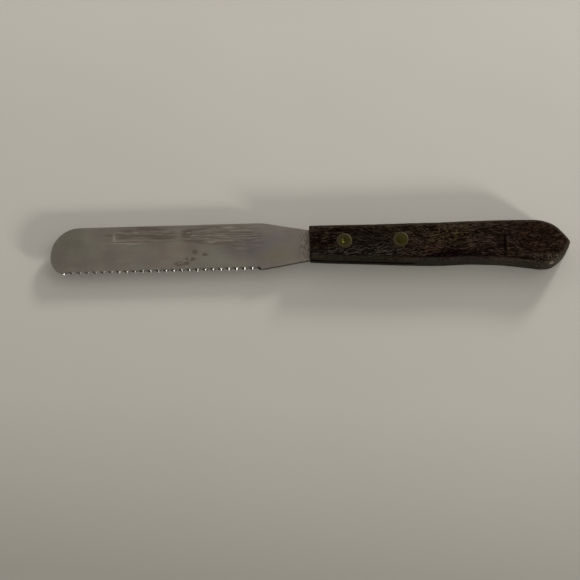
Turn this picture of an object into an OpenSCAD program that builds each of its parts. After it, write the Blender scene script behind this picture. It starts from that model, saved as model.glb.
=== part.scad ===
// Serrated butter knife with a slotted hardwood handle and two brass rivets.
// The knife lies flat: blade towards -X, butt towards +X, spine towards +Y, teeth towards -Y.
// Each piece is drawn from the front face of the handle (x = 0) and the blade's centreline (y = 0),
// with the table at z = 0, and is then moved so that the whole knife is centred over the origin.

/* [Blade] */
// Length of the blade, from the tip to the front of the handle
blade_l = 102.4; // [85:0.1:125]
// Width of the blade between its parallel edges
blade_w = 19.5; // [16:0.1:24]
// Thickness of the tang, and of the blade at its neck
blade_t = 0.7; // [0.6:0.05:1.5]
// How much thinner the blade is ground at its tip
tip_thin = 0.3; // [0:0.05:0.4]
// Radius of the upper part of the rounded tip
tip_r = 11.85; // [10:0.05:13]
// Length of the plain curve from the tip to the first scallop
chin_l = 5.5; // [4:0.1:9]
// Angle at which that curve meets the toothed edge
chin_a = 25; // [15:1:40]
// Width of the neck where it enters the handle
neck_w = 12.9; // [10:0.1:13.5]
// How far the middle of the neck lies below the middle of the blade
neck_drop = 0.2; // [0:0.05:0.5]
// Length of the neck's taper
neck_l = 18.3; // [14:0.1:24]
// Radius of the shoulders where the taper begins
shoulder_r = 20; // [8:0.5:40]

/* [Teeth] */
// Distance from one tooth to the next
tooth_pitch = 3.09; // [2:0.01:5]
// Depth of a scallop between two teeth
tooth_depth = 0.6; // [0.4:0.05:1.2]
// How far the grinding shortens each tooth behind the blade's edge line
tooth_trim = 0.15; // [0.05:0.05:0.4]
// Slant of the scallops' ground faces through the blade
bevel_a = 50; // [20:1:60]

/* [Tang] */
// Length of the half tang inside the handle
tang_l = 40.5; // [38:0.1:60]
// How far the tang's far end stays below the wood on both sides
tang_inset = 0.8; // [0.3:0.1:3]
// Radius of the tang's two far corners
tang_r = 2; // [0.5:0.1:4]

/* [Handle] */
// Length of the handle
handle_l = 102.7; // [90:0.1:125]
// Thickness of the handle
handle_t = 9; // [8:0.1:14]
// Height of the handle's back above the blade's centreline
back_h = 7.1; // [6.5:0.1:9]
// Depth of the handle's belly below the centreline at its front
front_h = 6.3; // [6:0.1:8]
// Depth of the butt's swell below the centreline
swell_h = 11.7; // [9.5:0.1:15]
// Depth of the butt's rounded point below the centreline
point_h = 2.4; // [1.5:0.05:3.5]
// Radius of the handle's rounded edges
edge_r = 1.8; // [0.6:0.1:2.5]
// Length of the rounded butt
butt_l = 12; // [10:0.1:16]

/* [Rivets] */
// Diameter of the rivet heads
head_d = 6.35; // [5:0.05:8]
// Thickness of the rivet heads
head_t = 1.2; // [0.8:0.1:2]
// Width of the bevel round each head's rim
head_bevel = 0.15; // [0.05:0.05:0.4]
// Outer diameter of the sleeve half's shank
sleeve_d = 3.6; // [3.2:0.1:4.4]
// Diameter of the pin half's shank
pin_d = 2.4; // [1.6:0.1:2.8]
// Space that the squeezed halves leave beyond each shank's end
end_gap = 0.5; // [0.2:0.1:1]
// Distance of the front rivet behind the handle's front face
front_rivet_x = 13.7; // [8:0.1:16]
// Distance of the rear rivet from the tang's far end
rear_rivet_inset = 4.6; // [3:0.1:12]
// Diameter of the dimple in the front rivet's upper head
dimple_d = 1.9; // [1:0.1:3]
// Depth of that dimple
dimple_h = 0.35; // [0.1:0.05:0.6]

/* [Fits] */
// Space above the tang in its kerf
kerf_gap = 0.1; // [0.05:0.05:0.3]
// Space beyond the tang's end in its kerf
kerf_end_gap = 0.6; // [0.3:0.1:2]
// Space round each rivet shank and head
rivet_gap = 0.04; // [0.02:0.01:0.1]

/* [Hidden] */
$fn = 64;

// How far a cutting shape runs past the surface that it cuts
overrun = 1;
// Straight pieces in a small arc, in a span of the handle's outline and in its rounded edge
arc_steps = 16;
span_steps = 4;
edge_steps = 4;

// Colours of the pieces
steel_colour = [0.40, 0.38, 0.33];
wood_colour = [0.12, 0.08, 0.06];
brass_colour = [0.42, 0.36, 0.18];

// The tip's curve below its foremost point: how far its two ends pull, as shares of its height and length
chin_shares = [0.68, 0.53];

// The handle's sides, up to the butt's swell. Each row gives a place along the handle as a share of its
// length, the back as a share of the rise from the butt's point to the back, and the belly as a share of
// the drop from the front's depth to the swell's.
side_shares = [
    [0.00, 1.00, 0.00],
    [0.07, 1.005, 0.10],
    [0.25, 0.99, 0.29],
    [0.38, 1.00, 0.43],
    [0.50, 1.00, 0.51],
    [0.60, 1.02, 0.47],
    [0.66, 1.025, 0.515],
    [0.72, 1.03, 0.58],
    [0.78, 1.025, 0.71],
    [0.84, 1.01, 0.875],
    [0.885, 0.985, 1.00]
];

// The handle's end, beyond the swell. Each row gives a place along the handle, then the back as a share of
// the rise from the point to the back, and the belly as a share of the drop from the point to the swell.
end_shares = [
    [0.925, 0.85, 0.945],
    [0.955, 0.635, 0.73],
    [0.980, 0.33, 0.43],
    [0.994, 0.135, 0.145]
];

// Places of the kerf and of the blade and the rivets in it
kerf_h = blade_t + kerf_gap;
kerf_z = (handle_t - kerf_h) / 2;
kerf_l = tang_l + kerf_end_gap;
rear_rivet_x = tang_l - rear_rivet_inset;
half_w = blade_w / 2;
neck_top = neck_w / 2 - neck_drop;
neck_low = neck_w / 2 + neck_drop;

// Slope of the blade's upper face from the neck to the thin tip
taper_a = atan(tip_thin / (blade_l - neck_l));

// Places and sizes of the scallops: their count follows the straight edge between chin and neck
scallops = floor((blade_l - neck_l - chin_l) / tooth_pitch);
first_scallop_x = chin_l - blade_l + tooth_pitch / 2;
root_y = tooth_trim + tooth_depth - half_w;
sagitta = tooth_depth * cos(bevel_a);
scallop_r = (pow(tooth_pitch / 2, 2) + pow(sagitta, 2)) / (2 * sagitta);
scallop_reach = scallop_r * tan(bevel_a) + blade_t / cos(bevel_a) + overrun;

// Points of an arc of radius r round c, from angle a to angle b
function arc(c, r, a, b, steps) =
    [for (i = [0:steps]) let (t = a + (b - a) * i / steps) c + r * [cos(t), sin(t)]];

// Points of a cubic curve from p to s, pulled towards q and r
function curve(p, q, r, s, steps) =
    [for (i = [0:steps]) let (t = i / steps, u = 1 - t)
        u * u * u * p + 3 * u * u * t * q + 3 * u * t * t * r + t * t * t * s];

// A smooth curve through all the points of a list
function smooth_span(a, b, c, d, t) =
    let (
        chord = norm(c - b),
        start = (c - a) * chord / (norm(b - a) + chord),
        end = (d - b) * chord / (chord + norm(d - c)),
        u = 1 - t
    )
    b * (1 + 2 * t) * u * u + start * t * u * u + c * t * t * (3 - 2 * t) - end * t * t * u;
function smooth(p, steps) = concat(
    [for (i = [0:len(p) - 2], k = [0:steps - 1])
        smooth_span(p[max(i - 1, 0)], p[i], p[i + 1], p[min(i + 2, len(p) - 1)], k / steps)],
    [p[len(p) - 1]]
);

// Height of the handle's back and of its belly at a place along its sides
point_y = -point_h;
function back_y(share) = point_y + share * (back_h - point_y);
function belly_y(share) = -front_h - share * (swell_h - front_h);
tang_share = tang_l / handle_l;
tang_top = back_y(lookup(tang_share, [for (s = side_shares) [s[0], s[1]]])) - tang_inset;
tang_low = belly_y(lookup(tang_share, [for (s = side_shares) [s[0], s[2]]])) + tang_inset;

// Outline of the blade's blank: along the spine from the tang's far end to the foremost point, round the
// tip's lower curve, and back along the edge
top_a = atan((half_w - neck_top) / neck_l);
low_a = atan((half_w - neck_low) / neck_l);
top_shoulder_x = -neck_l - shoulder_r * tan(top_a / 2);
low_shoulder_x = -neck_l - shoulder_r * tan(low_a / 2);
foremost = [-blade_l, half_w - tip_r];
chin_end = [chin_l - blade_l, -half_w];
spine_side = concat(
    arc([tang_l - tang_r, tang_top - tang_r], tang_r, 0, 90, arc_steps),
    [[0, neck_top]],
    arc([top_shoulder_x, half_w - shoulder_r], shoulder_r, 90 - top_a, 90, arc_steps),
    arc([tip_r - blade_l, half_w - tip_r], tip_r, 90, 180, 2 * arc_steps)
);
chin = curve(
    foremost,
    foremost - [0, chin_shares[0] * (foremost[1] + half_w)],
    chin_end + chin_shares[1] * chin_l * [-cos(chin_a), sin(chin_a)],
    chin_end,
    arc_steps
);
edge_side = concat(
    arc([low_shoulder_x, shoulder_r - half_w], shoulder_r, -90, low_a - 90, arc_steps),
    [[0, -neck_low]],
    arc([tang_l - tang_r, tang_low + tang_r], tang_r, -90, 0, arc_steps)
);

// The handle's outline, from the front of its back round the butt to the front of its belly
back_points = [for (s = concat(side_shares, end_shares)) [s[0] * handle_l, back_y(s[1])]];
belly_points = concat(
    [for (s = side_shares) [s[0] * handle_l, belly_y(s[2])]],
    [for (s = end_shares) [s[0] * handle_l, point_y - s[2] * (swell_h - point_h)]]
);
belly_count = len(belly_points);
handle_outline = smooth(
    concat(back_points, [[handle_l, point_y]], [for (i = [1:belly_count]) belly_points[belly_count - i]]),
    span_steps
);

// Outward direction at a point of the outline: square to the length, and fanning out round the butt
butt_x = handle_l - butt_l;
function outward(p) =
    let (away = [max(p[0] - butt_x, 0), p[1] - (p[0] > butt_x ? point_y : 0)])
    away / norm(away);

// Up the handle's side at one point of the outline: round below, upright, and round above
function side_rib(p) =
    let (in = -edge_r * outward(p))
    concat(
        [for (i = [0:edge_steps]) let (a = 90 * i / edge_steps, q = p + in * (1 - sin(a)))
            [q[0], q[1], edge_r * (1 - cos(a))]],
        [for (i = [0:edge_steps]) let (a = 90 * i / edge_steps, q = p + in * (1 - cos(a)))
            [q[0], q[1], handle_t - edge_r * (1 - sin(a))]]
    );
ribs = len(handle_outline);
rows = 2 * (edge_steps + 1);

// The whole knife is centred over the origin
low_y = min([for (p = handle_outline) p[1]]);
mid_x = (handle_l - blade_l) / 2;
mid_y = (half_w + min(low_y, -half_w)) / 2;
module centred() {
    translate([-mid_x, -mid_y, 0]) children();
}

// Wedge above the blade, which thins it from the end of the neck to the tip
module taper_cut() {
    translate([-neck_l, -blade_w, kerf_z + blade_t])
        rotate([0, -taper_a, 0])
            translate([-blade_l, 0, 0]) cube([blade_l, 2 * blade_w, overrun]);
}

// One ground scallop, slanted through the blade
module scallop_cut() {
    translate([0, root_y - scallop_r / cos(bevel_a), kerf_z])
        rotate([-bevel_a, 0, 0])
            cylinder(r = scallop_r, h = 2 * scallop_reach, center = true);
}

// Stainless blank: blade, neck and half tang in one piece
module blade() {
    color(steel_colour) centred() difference() {
        translate([0, 0, kerf_z])
            linear_extrude(height = blade_t)
                polygon(concat(spine_side, chin, edge_side));
        taper_cut();
        for (i = [0:scallops - 1])
            translate([first_scallop_x + i * tooth_pitch, 0, 0]) scallop_cut();
        for (x = [front_rivet_x, rear_rivet_x])
            translate([x, 0, 0]) cylinder(d = sleeve_d + 2 * rivet_gap, h = handle_t);
    }
}

// Handle before it is slotted and bored
module handle_blank() {
    points = [for (p = handle_outline) each side_rib(p)];
    sides = [for (i = [0:ribs - 2], j = [0:rows - 2])
        let (a = i * rows + j, b = a + rows)
        each [[a, a + 1, b + 1], [a, b + 1, b]]];
    lower_cap = [for (i = [0:(ribs - 1) / 2 - 1])
        let (a = i * rows, b = a + rows, c = (ribs - 1 - i) * rows, d = c - rows)
        each (b == d ? [[a, b, c]] : [[a, b, d], [a, d, c]])];
    upper_cap = [for (f = lower_cap) [for (k = [2:-1:0]) f[k] + rows - 1]];
    last = (ribs - 1) * rows;
    front = concat([for (j = [rows - 1:-1:0]) j], [for (j = [0:rows - 1]) last + j]);
    polyhedron(points, concat(sides, lower_cap, upper_cap, [front]));
}

// Hole for one rivet through the handle, with a recess for each head
module rivet_hole() {
    bore = head_d + 2 * rivet_gap;
    cylinder(d = sleeve_d + 2 * rivet_gap, h = handle_t);
    translate([0, 0, -overrun]) cylinder(d = bore, h = overrun + head_t);
    translate([0, 0, handle_t - head_t]) cylinder(d = bore, h = overrun + head_t);
}

// One-piece hardwood handle with the tang's kerf
module handle() {
    color(wood_colour) centred() difference() {
        handle_blank();
        translate([-overrun, -swell_h - overrun, kerf_z])
            cube([overrun + kerf_l, swell_h + back_h + 2 * overrun, kerf_h]);
        for (x = [front_rivet_x, rear_rivet_x]) translate([x, 0, 0]) rivet_hole();
    }
}

// Head of a rivet half, with its bevelled rim upwards
module rivet_head() {
    rotate_extrude()
        polygon([
            [0, 0],
            [head_d / 2, 0],
            [head_d / 2, head_t - head_bevel],
            [head_d / 2 - head_bevel, head_t],
            [0, head_t]
        ]);
}

// Pin half of a rivet: its head is flush with the handle's upper face
module rivet_pin(x, dimpled) {
    color(brass_colour) centred() translate([x, 0, 0]) difference() {
        union() {
            translate([0, 0, handle_t - head_t]) rivet_head();
            translate([0, 0, head_t + end_gap]) cylinder(d = pin_d, h = handle_t - 2 * head_t - end_gap);
        }
        if (dimpled)
            translate([0, 0, handle_t - dimple_h]) cylinder(d = dimple_d, h = dimple_h + overrun);
    }
}

// Sleeve half of a rivet: its head is flush with the handle's lower face
module rivet_sleeve(x) {
    color(brass_colour) centred() translate([x, 0, 0]) difference() {
        union() {
            translate([0, 0, head_t]) mirror([0, 0, 1]) rivet_head();
            translate([0, 0, head_t]) cylinder(d = sleeve_d, h = handle_t - 2 * head_t - end_gap);
        }
        translate([0, 0, head_t]) cylinder(d = pin_d + rivet_gap, h = handle_t);
    }
}

module front_rivet_pin() {
    rivet_pin(front_rivet_x, true);
}

module front_rivet_sleeve() {
    rivet_sleeve(front_rivet_x);
}

module rear_rivet_pin() {
    rivet_pin(rear_rivet_x, false);
}

module rear_rivet_sleeve() {
    rivet_sleeve(rear_rivet_x);
}

blade();
handle();
front_rivet_pin();
front_rivet_sleeve();
rear_rivet_pin();
rear_rivet_sleeve();
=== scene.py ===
from math import atan, cos, pi, radians, sin, tan

import bmesh
import bpy
from bpy.props import FloatProperty, FloatVectorProperty, IntProperty, PointerProperty
from mathutils import Matrix, Vector, noise


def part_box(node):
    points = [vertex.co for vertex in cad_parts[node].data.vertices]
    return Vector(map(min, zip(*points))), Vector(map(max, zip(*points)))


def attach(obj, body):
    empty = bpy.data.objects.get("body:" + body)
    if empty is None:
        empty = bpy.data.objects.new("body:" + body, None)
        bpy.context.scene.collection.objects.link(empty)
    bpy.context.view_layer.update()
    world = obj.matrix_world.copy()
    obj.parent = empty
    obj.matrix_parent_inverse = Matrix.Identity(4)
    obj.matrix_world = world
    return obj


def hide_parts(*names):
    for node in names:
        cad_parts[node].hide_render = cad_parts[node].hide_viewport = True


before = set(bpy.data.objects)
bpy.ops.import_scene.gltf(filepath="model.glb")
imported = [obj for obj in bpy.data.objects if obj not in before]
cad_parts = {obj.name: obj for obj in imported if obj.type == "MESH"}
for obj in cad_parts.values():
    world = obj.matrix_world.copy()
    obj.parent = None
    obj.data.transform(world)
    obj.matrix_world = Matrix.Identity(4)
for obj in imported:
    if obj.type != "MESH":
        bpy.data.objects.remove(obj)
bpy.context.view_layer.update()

bl_info = {
    "name": "Butter Knife",
    "version": (1, 0, 0),
    "blender": (4, 5, 0),
    "location": "View3D > Sidebar > Knife",
    "description": "Builds a serrated butter knife with a riveted hardwood handle",
    "category": "Object",
}

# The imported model's box, the handle's front and top, the line through the rivets, and the blade's faces
BLADE, HANDLE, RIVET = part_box("blade"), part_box("handle"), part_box("front_rivet_pin")
FRONT, TOP = HANDLE[0].x, HANDLE[1].z
CENTRE = (RIVET[0].y + RIVET[1].y) / 2
BLADE_LOW, BLADE_TOP = BLADE[0].z, BLADE[1].z

# The handle's outline as shares, from its front to its swell: the place along the handle, the back between
# the butt's point and the full back, the belly between its depth at the front and the swell
SIDE_SHARES = (
    (0.00, 1.00, 0.00), (0.07, 1.005, 0.10), (0.25, 0.99, 0.29), (0.38, 1.00, 0.43),
    (0.50, 1.00, 0.51), (0.60, 1.02, 0.47), (0.66, 1.025, 0.515), (0.72, 1.03, 0.58),
    (0.78, 1.025, 0.71), (0.84, 1.01, 0.875), (0.885, 0.985, 1.00),
)
# Beyond the swell both sides are shares of their distance from the butt's point
END_SHARES = (
    (0.925, 0.85, 0.945), (0.955, 0.635, 0.73), (0.980, 0.33, 0.43), (0.994, 0.135, 0.145),
)
# The blade's curve below its foremost point: how far its two ends pull
CHIN_SHARES = (0.68, 0.53)

# Steps in the curves, and in a full turn of the round tools and the rivets
CORNER_STEPS = 8
SHOULDER_STEPS = 16
TIP_STEPS = 48
CHIN_STEPS = 32
OUTLINE_STEPS = 9
EDGE_STEPS = 9
DIMPLE_STEPS = 10
SCALLOP_STEPS = 160
HOLE_STEPS = 64
RIVET_STEPS = 96

# How far a cutting tool reaches past what it cuts, and the width of the kerf's tool
OVERCUT, KERF_TOOL_WIDTH = 0.001, 0.05

# The soft and the sharp dents in the handle's edges: how many in a metre and their share of the depth, the
# noise above which there are sharp ones, where they begin, where they are deep, and their share before that
SOFT_DENTS, SHARP_DENTS, SHARP_FROM = (260, 0.4), (700, 1.6), 0.15
DENTS_BEGIN, DENTS_DEEP, DENTS_SHARE = 0.002, 0.085, 0.45

# Each rivet: its name, the radius inside its groove, how far its rubbed spot lies off the middle in
# millimetres, and whether it has a dimple
RIVETS = (("front", 0.00165, 0, True), ("rear", 0.0020, 0.25, False))
# Half the groove's width, its depth in the two heads, and how far the disc inside it lies below the rim
GROOVE_HALF, PIN_GROOVE, SLEEVE_GROOVE = 0.00012, 0.00003, 0.00006
DISC_EDGE, DIMPLE_EDGE, DISC_MIDDLE = 0.00001, 0.00002, 0.00003

# Edges that turn by more than this stay sharp
BLADE_CREASE, WOOD_CREASE, BRASS_CREASE = radians(28), radians(35), radians(30)

# How the grain and the marks slant to the knife's length, and how the fibres of the dry wood do
SLANT, DRY_SLANT = radians(1.5), radians(-9)

# Marks, in millimetres: their middle behind the handle's front face and above the rivets' line, their reach
# along and across the knife, and then the factors of a tint, or a strength or weight; the last word of a
# line says whether it is a scratch or a stain
STEEL_TINTS = (
    (-30, 1, 26, 16, (0.87, 0.875, 0.89)),
    (-25.5, 2.0, 13, 9.5, (0.78, 0.755, 0.84)),
    (-38, 3.5, 12, 8, (0.90, 0.89, 0.89)),
    (-66, 4.5, 24, 9, (0.92, 0.91, 0.90)),
    (-12.8, 3.5, 7, 5, (0.99, 0.93, 1.02)),
    (-13.0, -3.6, 8, 4.5, (0.99, 1.0, 0.86)),
    (-20, 0.8, 9, 7, (0.91, 0.92, 0.98)),
    (-80.2, -0.9, 5, 8, (1.01, 0.95, 0.94)),
    (-52, -0.8, 17, 6, (1.02, 0.97, 0.96)),
    (-92, 4, 16, 9, (0.97, 0.99, 0.92)),
)
SMEAR_ZONES = (
    (-66.2, 5.4, 20, 4.8, 1.0), (-35.3, 5.0, 22, 5.4, 1.0), (-24.6, 2.0, 9, 5.5, 0.6),
)
STEEL_LINES = (
    (-72, 0.8, 15, 0.34, 0.6, True), (-70, 1.5, 17, 0.42, 0.75, False),
    (-24.5, -1.2, 8, 0.34, 0.2, True), (-25.5, -0.4, 8, 0.34, 0.5, False),
    (-66.0, 7.4, 9, 0.5, 0.5, False), (-27.0, 0.9, 9, 0.34, 0.5, False),
    (-50.0, 1.7, 12, 0.32, 0.45, False),
)
BLOTCHES = (
    (-48.5, 6.1, 3.4, 2.8), (-45.1, -1.6, 2.2, 1.3), (-47.5, -4.6, 3.4, 1.4),
    (-50.5, -6.4, 4.5, 1.6), (-41.3, -2.7, 2.0, 1.1),
)
TONE_PATCHES = (
    (54, -5.4, 22, 3.2, -0.75), (84, -7.3, 10, 2.6, -0.6), (40, 5.0, 16, 2.6, 0.15),
    (7, 1, 19, 9, -0.19), (23, 0, 13, 8, -0.26),
)
WOOD_TINTS = (
    (10, 5.8, 14, 2.2, (1.0, 1.15, 1.05)),
    (36, 6.0, 12, 2.2, (0.90, 1.02, 0.80)),
    (24, 0, 16, 9, (0.70, 0.82, 0.80)),
    (55, -5.2, 22, 3.2, (0.9, 0.85, 1.25)),
    (92, 3, 14, 8, (1.1, 1.0, 0.95)),
    (55, 3.6, 12, 4.5, (1.12, 1.16, 0.92)),
    (49, -1.2, 6, 4, (1.28, 1.12, 1.15)),
)
# Levels of the painted sheen on the handle's sides, in the same way
SIDE_SHEEN_LEVELS = (
    (20, -7.5, 24, 5, 0.74), (80, -9.5, 14, 5, 1.40),
)
# Single marks on the blade and the handle, in the same way
RUB_MARK = (-77.2, 5.3, 0.8, 2.6)
KNOTTY_WOOD = (23, 0.5, 12, 10)
TAN_WOOD = (56, 3, 11, 7)
DRY_WOOD = (18, -5.0, 28, 3.9)
BRUISE = (76.9, -3.0, 1.0, 8.5)
GRAZE = (78.2, -3.2, 0.6, 7.0)
# A painted glint on the butt's lower corner
BUTT_GLINT = (94.7, -10.9, 1.7, 0.9)
# The height of such marks above the table, and their reach up and down
TINT_LEVEL, SMEAR_LEVEL, BLOTCH_LEVEL = (4.5, 30), (4.5, 40), (4.5, 9)
WOOD_LEVEL, SIDE_LEVEL, BRUISE_LEVEL, GLINT_LEVEL = (9, 20), (5, 20), (6, 20), (7.5, 1.4)
# How far the scallops reach above the edge, and the depth of the neck's edge at the handle and its slope
GROUND_REACH, NECK_EDGE = 2.4, (6.65, 0.169)

# Thin lines in the smears: their shift, number in a millimetre, stretch, noise where they begin and where
# they are full, strength, and whether they are scratches or stains
SMEAR_LINES = (
    ((0, 0, 0), 2.7, 30.0, 0.47, 0.53, 0.9, False),
    ((11, 4, 2), 3.6, 36.0, 0.49, 0.55, 0.6, False),
    ((5, 3, 1), 1.9, 20.0, 0.54, 0.61, 0.7, True),
)
# Layers of the wood's figure: features in a millimetre, shift and weight
FIGURE = (
    ((0.022, 0.30, 0.30), (0, 0, 0), 0.8),
    ((0.10, 1.0, 1.0), (3, 1, 5), 1.2),
    ((0.27, 2.3, 2.3), (7, 2, 1), 2.4),
    ((0.58, 4.0, 4.0), (2, 9, 4), 3.3),
)

# The inputs of the node groups, with their defaults
STREAKS = {"Vector": None, "Lines per mm": 2.0, "Stretch": 20.0, "Low": 0.35, "High": 0.65}
SPECKS = {"Vector": None, "Per mm": 1.0, "Stretch": 1.0, "Cover": 0.3}
EDGE_WEAR = {"Vector": None, "Breakup": 1.5, "Amount": 0.5}

# The table top, how far it lies below the knife, and the levels of its colour from near to far, a painted
# falloff of the light, where the way begins so many millimetres before the knife and has that length
TABLE_RADIUS, TABLE_STEPS, TABLE_DROP = 4.0, 96, 0.00002
PAINTED_FALLOFF = ((0.0, 0.0), (0.16, 0.33), (0.31, 0.59), (0.7, 0.82), (1.0, 1.0))
FALLOFF_BEGIN, FALLOFF_LENGTH = 135, 230
# The lamps: name, degrees round the knife and above the table, size, power and colour
LAMPS = (
    ("window", 57, 19, 0.36, 27.0, (1.0, 0.99, 0.97)),
    ("lamp", -35, 15.5, 0.29, 32.0, (1.0, 0.99, 0.96)),
)
LAMP_DISTANCE = 2.0
# The light of the room from the horizon up, and from below
ROOM = ((0.0, (0.32, 0.315, 0.30)), (0.3, (0.46, 0.45, 0.43)), (0.6, (0.74, 0.73, 0.70)))
BELOW = (0.62, 0.61, 0.58)
SENSOR = 36


def distance(name, description, default, least=0):
    return FloatProperty(
        name=name, description=description, default=default, min=least, precision=5, unit="LENGTH",
        subtype="DISTANCE",
    )


def angle(name, description, default):
    return FloatProperty(
        name=name, description=description, default=radians(default), unit="ROTATION", subtype="ANGLE"
    )


def share(name, description, default):
    return FloatProperty(name=name, description=description, default=default, min=0, max=1, subtype="FACTOR")


def colour(name, description, default):
    return FloatVectorProperty(
        name=name, description=description, default=default, size=3, min=0, max=1, subtype="COLOR"
    )


class KnifeBladeSettings(bpy.types.PropertyGroup):
    length: distance("Length", "From the tip to the front of the handle", FRONT - BLADE[0].x)
    width: distance("Width", "Between the blade's parallel edges", BLADE[1].y - BLADE[0].y)
    tip_thinning: distance("Tip Thinning", "How much thinner the blade is ground at its tip", 0.0003)
    tip_radius: distance("Tip Radius", "Radius of the upper part of the tip", 0.01185)
    chin_length: distance("Chin Length", "From the tip to the first scallop", 0.0055)
    chin_angle: angle("Chin Angle", "Angle at which the tip's curve meets the edge", 25)
    neck_width: distance("Neck Width", "Width of the blade where it enters the handle", 0.0129)
    neck_drop: distance("Neck Drop", "How far the neck lies below the blade's middle", 0.0002)
    neck_length: distance("Neck Length", "Length of the neck's taper", 0.0183)
    shoulder_radius: distance("Shoulder Radius", "Radius where the taper begins", 0.02)
    tang_length: distance("Tang Length", "Length of the tang inside the handle", BLADE[1].x - FRONT)
    tang_inset: distance("Tang Inset", "How far the tang stays below the wood", 0.0008)
    tang_radius: distance("Tang Radius", "Radius of the tang's far corners", 0.002)
    rim_radius: distance("Rim Radius", "Softening of the blank's stamped rim", 0.00009)
    scallops: IntProperty(name="Scallops", description="Number of ground scallops", default=25, min=1)
    tooth_pitch: distance("Tooth Pitch", "Distance between two teeth", 0.00309)
    tooth_depth: distance("Tooth Depth", "Depth of a scallop between its teeth", 0.0006)
    tooth_trim: distance("Tooth Trim", "How far grinding shortens the teeth", 0.00015)
    grind_angle: angle("Grind Angle", "Slant of the ground scallops", 50)
    steel: colour("Steel", "Colour of the steel", (0.51, 0.475, 0.425))
    stain: colour("Stain", "Colour of the smears on the steel", (0.235, 0.19, 0.15))
    scratch: colour("Scratches", "Colour of the light scratches", (0.66, 0.62, 0.56))
    wear: share("Wear", "Strength of the scratches and smears", 0.8)


class KnifeHandleSettings(bpy.types.PropertyGroup):
    length: distance("Length", "Length of the handle", HANDLE[1].x - FRONT)
    back: distance("Back", "Height of the back above the blade's middle", 0.0071)
    front: distance("Front Depth", "Depth of the belly at the front", 0.0063)
    swell: distance("Swell", "Depth of the swell before the butt", 0.011694)
    point: distance("Point", "Depth of the butt's point below the middle", 0.0024)
    butt: distance("Butt Length", "Length of the rounded butt", 0.012)
    edge_radius: distance("Edge Radius", "Radius of the rounded edges", 0.0018)
    front_bevel: distance("Front Bevel", "Softening of the front face's edges", 0.0004)
    kerf_length: distance("Kerf Length", "Length of the saw kerf for the tang", 0.0411)
    kerf_gap: distance("Kerf Gap", "Space above the tang in its kerf", 0.0001)
    nicks: distance("Nicks", "Depth of the dents along the rounded edges", 0.00012)
    dark: colour("Dark Wood", "Darkest figure of the wood", (0.0019, 0.0006, 0.0003))
    mid: colour("Middle Wood", "Middle colour of the wood", (0.0125, 0.0062, 0.0036))
    light: colour("Light Wood", "Lightest figure of the wood", (0.047, 0.0315, 0.0225))
    fleck: colour("Flecks", "Tan flecks in the wood", (0.055, 0.041, 0.019))
    # The grey of the handle's sides: painted sheen as well as dry bloom
    sheen_and_bloom: colour("Dry Bloom", "Grey of the worn, dry sides", (0.0205, 0.0185, 0.0130))
    ash: colour("Ash", "Pale streaks and chips in the dry wood", (0.062, 0.053, 0.039))


class KnifeRivetSettings(bpy.types.PropertyGroup):
    head: distance("Head", "Diameter of the rivet heads", RIVET[1].x - RIVET[0].x)
    head_height: distance("Head Height", "Thickness of the rivet heads", 0.0012)
    bevel: distance("Bevel", "Width of the bevel round a head", 0.00015)
    sleeve: distance("Sleeve", "Diameter of the sleeve half's shank", 0.0036)
    pin: distance("Pin", "Diameter of the pin half's shank", 0.0024)
    end_gap: distance("End Gap", "Space beyond each shank's end", 0.0005)
    gap: distance("Gap", "Space round a rivet in its hole", 0.00004)
    dimple: distance("Dimple", "Diameter of the front rivet's dimple", 0.0019)
    dimple_depth: distance("Dimple Depth", "Depth of that dimple", 0.00035)
    brass: colour("Brass", "Colour of the rubbed brass", (0.071, 0.062, 0.0155))
    tarnish: colour("Tarnish", "Colour of the brass round its rim", (0.066, 0.052, 0.031))


class KnifeStageSettings(bpy.types.PropertyGroup):
    table: colour("Table", "Colour of the table top", (0.53, 0.51, 0.465))
    # The near colour is painted shade, the light falling off towards the camera
    table_shaded_near: colour("Near Table", "Colour of the table top towards the camera", (0.31, 0.295, 0.26))
    tilt: angle("Camera Tilt", "Height of the camera above the table", 72)
    roll: angle("Camera Roll", "Turn of the picture about the line of sight", 1.5)
    reach: distance("Camera Distance", "From the camera to the middle of the picture", 1.0)
    frame_width: distance("Frame Width", "Width of the table in the picture", 0.228)
    aim_x: distance("Aim X", "Middle of the picture along the knife", -0.0083, -1)
    aim_y: distance("Aim Y", "Middle of the picture across the knife", -0.0174, -1)


def at(x, y, z):
    """The point x behind the handle's front face and y above the line through the rivets, at height z."""
    return Vector((FRONT + x, CENTRE + y, z))


def trace(bm, vert, points):
    """Draws edges on from a vertex through some points, to the last vertex."""
    for point in points:
        vert = bmesh.ops.extrude_vert_indiv(bm, verts=[vert])["verts"][0]
        vert.co = point
    return vert


def sweep(bm, vert, centre, turn, steps):
    """Draws an arc on from a vertex round a centre, to the last vertex."""
    arc = bmesh.ops.spin(bm, geom=[vert], cent=centre, axis=(0, 0, 1), angle=turn, steps=steps)
    return next(g for g in arc["geom_last"] if isinstance(g, bmesh.types.BMVert))


def lathe(profile, centre):
    """A closed solid turned about an upright axis from the radii and heights of its profile."""
    bm = bmesh.new()
    points = [(radius, 0, height) for radius, height in profile]
    trace(bm, bm.verts.new(points[0]), points[1:])
    bmesh.ops.spin(
        bm, geom=bm.verts[:] + bm.edges[:], axis=(0, 0, 1), angle=2 * pi, steps=RIVET_STEPS, use_merge=True
    )
    bmesh.ops.remove_doubles(bm, verts=bm.verts, dist=1e-7)
    bmesh.ops.recalc_face_normals(bm, faces=bm.faces)
    bmesh.ops.translate(bm, verts=bm.verts, vec=centre)
    return bm


def add_rod(bm, radius, depth, steps, matrix):
    """Adds a round rod to a bmesh."""
    bmesh.ops.create_cone(
        bm, cap_ends=True, segments=steps, radius1=radius, radius2=radius, depth=depth, matrix=matrix
    )


def soften(bm, edges, width, segments):
    """Bevels some edges of a bmesh."""
    bmesh.ops.bevel(
        bm, geom=edges, offset=width, segments=segments, profile=0.5, affect="EDGES", material=-1
    )


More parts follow.
